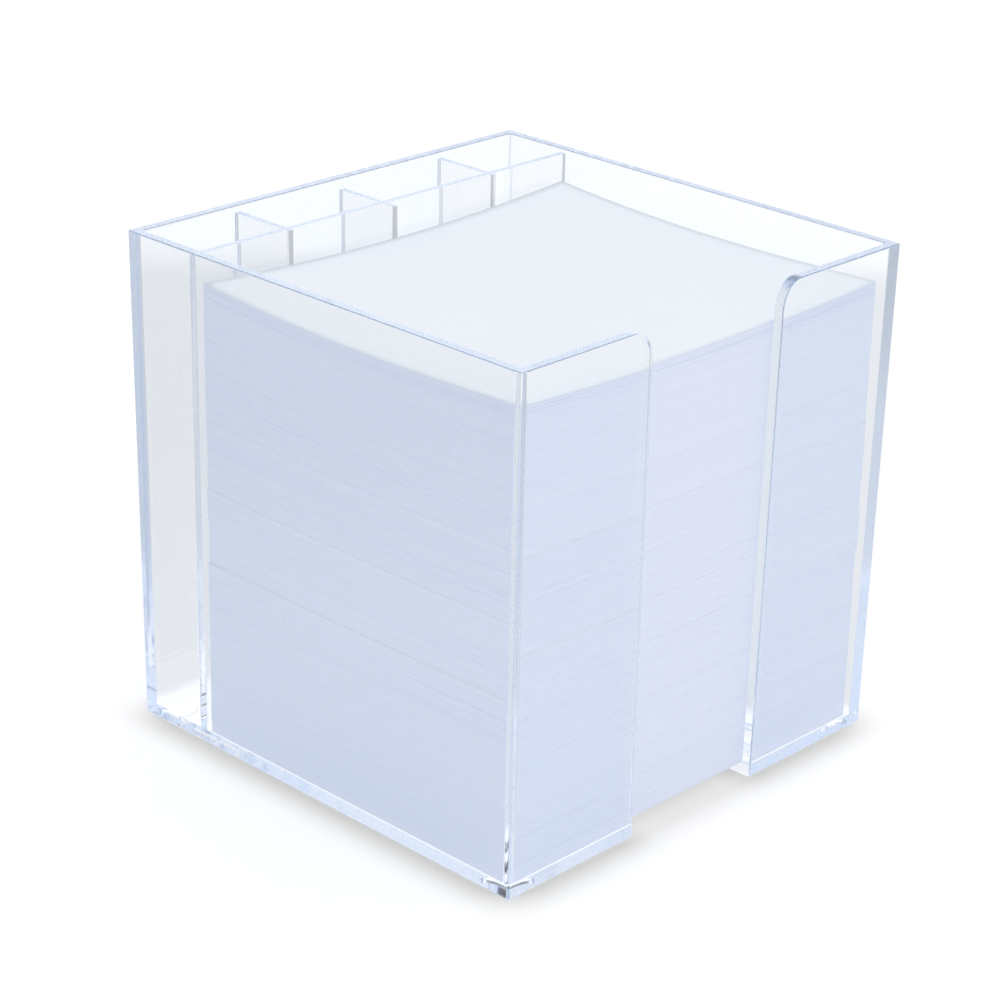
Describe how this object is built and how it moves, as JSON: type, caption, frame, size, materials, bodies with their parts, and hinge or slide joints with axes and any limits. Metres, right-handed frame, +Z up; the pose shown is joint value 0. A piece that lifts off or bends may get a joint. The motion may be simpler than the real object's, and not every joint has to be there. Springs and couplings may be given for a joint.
{
  "type": "memo cube box with pen compartments",
  "caption": "Clear square desk box holding a stack of loose note slips behind a finger slot, with a row of pen and clip compartments along its back.",
  "frame": {"origin": "middle of the footprint, on the surface the box stands on", "axes": "+Z up; the finger slot is in the front wall, towards -Y; the pen compartments run along X at the back, towards +Y"},
  "size_m": [0.095, 0.095, 0.094],
  "materials": {
    "clear_polystyrene": "polished",
    "note_paper": "matte"
  },
  "bodies": {
    "box": {"memo_box": "clear_polystyrene"},
    "slip_sheaf_1_body": {"slip_sheaf_1": "note_paper"},
    "slip_sheaf_2_body": {"slip_sheaf_2": "note_paper"},
    "slip_sheaf_3_body": {"slip_sheaf_3": "note_paper"},
    "slip_sheaf_4_body": {"slip_sheaf_4": "note_paper"},
    "slip_sheaf_5_body": {"slip_sheaf_5": "note_paper"},
    "upper_slip_sheaf_body": {"upper_slip_sheaf": "note_paper"},
    "loose_slip_sheaf_body": {"loose_slip_sheaf": "note_paper"},
    "top_slip_body": {"top_slip": "note_paper"}
  },
  "joints": [
    {"name": "slip_sheaf_1_lift", "type": "slide", "parent": "box", "child": "slip_sheaf_1_body", "axis": [0, 0, 1], "range_m": [0, 0.0975]},
    {"name": "slip_sheaf_2_lift", "type": "slide", "parent": "slip_sheaf_1_body", "child": "slip_sheaf_2_body", "axis": [0, 0, 1], "range_m": [0, 0.0705]},
    {"name": "slip_sheaf_3_lift", "type": "slide", "parent": "slip_sheaf_2_body", "child": "slip_sheaf_3_body", "axis": [0, 0, 1], "range_m": [0, 0.0641]},
    {"name": "slip_sheaf_4_lift", "type": "slide", "parent": "slip_sheaf_3_body", "child": "slip_sheaf_4_body", "axis": [0, 0, 1], "range_m": [0, 0.0565]},
    {"name": "slip_sheaf_5_lift", "type": "slide", "parent": "slip_sheaf_4_body", "child": "slip_sheaf_5_body", "axis": [0, 0, 1], "range_m": [0, 0.0505]},
    {"name": "upper_slip_sheaf_lift", "type": "slide", "parent": "slip_sheaf_5_body", "child": "upper_slip_sheaf_body", "axis": [0, 0, 1], "range_m": [0, 0.0395]},
    {"name": "loose_slip_sheaf_lift", "type": "slide", "parent": "upper_slip_sheaf_body", "child": "loose_slip_sheaf_body", "axis": [0, 0, 1], "range_m": [0, 0.0165]},
    {"name": "top_slip_lift", "type": "slide", "parent": "loose_slip_sheaf_body", "child": "top_slip_body", "axis": [0, 0, 1], "range_m": [0, 0.0142]}
  ]
}
